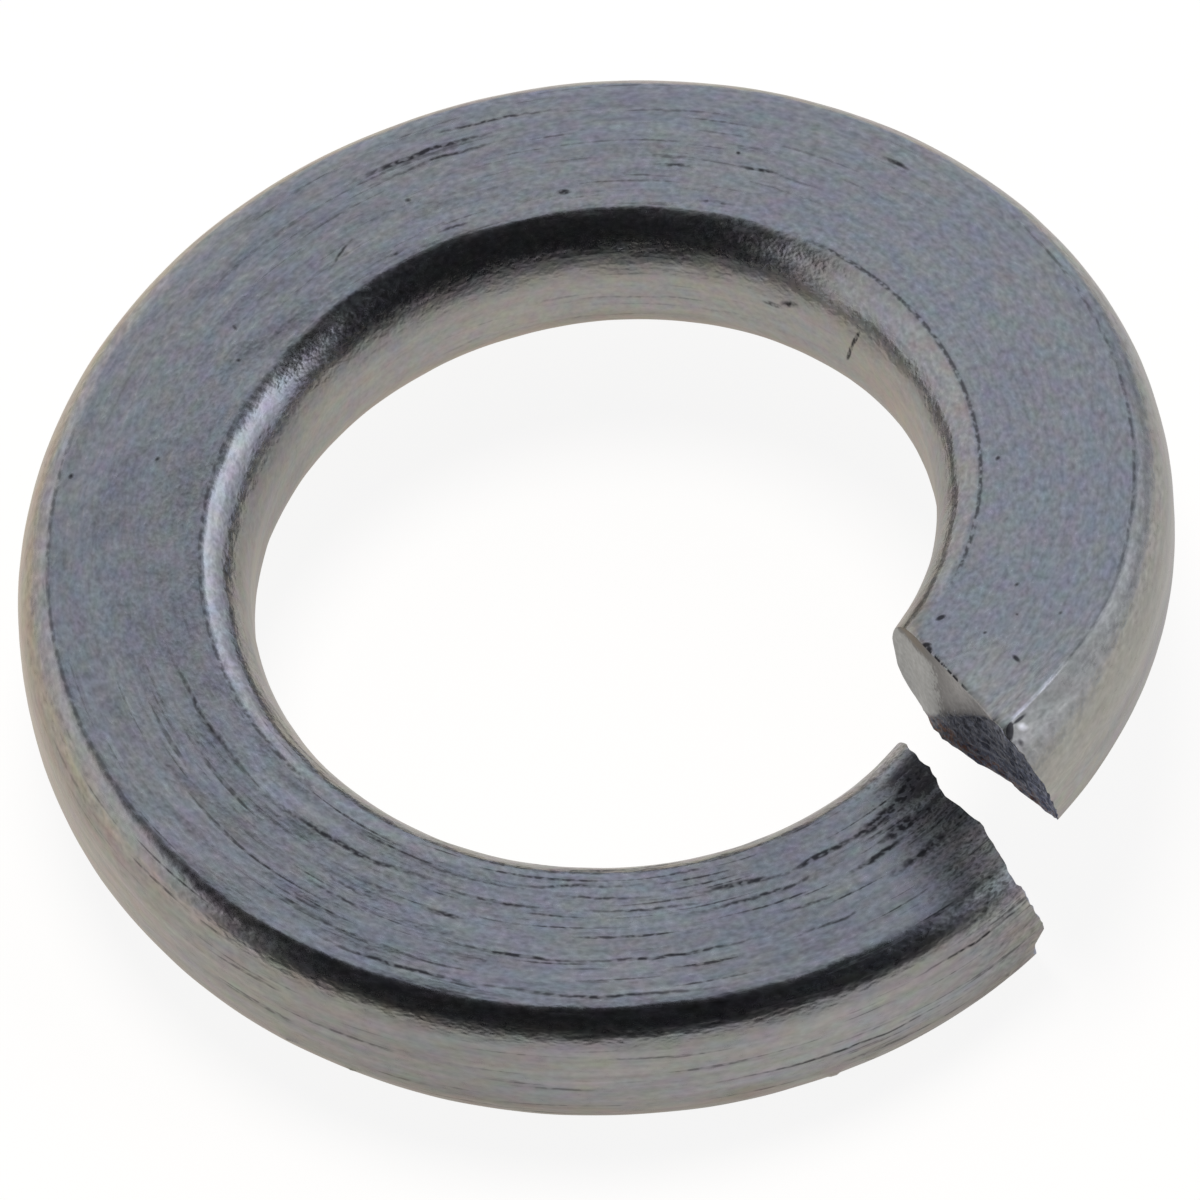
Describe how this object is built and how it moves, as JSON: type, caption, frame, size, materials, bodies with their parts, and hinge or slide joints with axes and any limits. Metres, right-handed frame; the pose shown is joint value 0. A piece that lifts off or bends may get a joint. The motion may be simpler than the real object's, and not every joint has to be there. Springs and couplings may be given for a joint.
{
  "type": "spring lock washer",
  "caption": "One turn of round-edged spring wire with a skewed split, one end standing above the other, which locks a nut or bolt head by springing back.",
  "frame": {"origin": "on the bore's axis, at the height of the washer's lowest point, which is the plane it lies on", "axes": "+Z along the bore's axis, towards the raised end; +X from the axis through the middle of the split"},
  "size_m": [0.022, 0.022, 0.0064],
  "materials": {
    "zinc_plated_steel": "satin zinc plate over drawn spring steel"
  },
  "bodies": {
    "root": {"lock_washer": "zinc_plated_steel"}
  },
  "joints": []
}
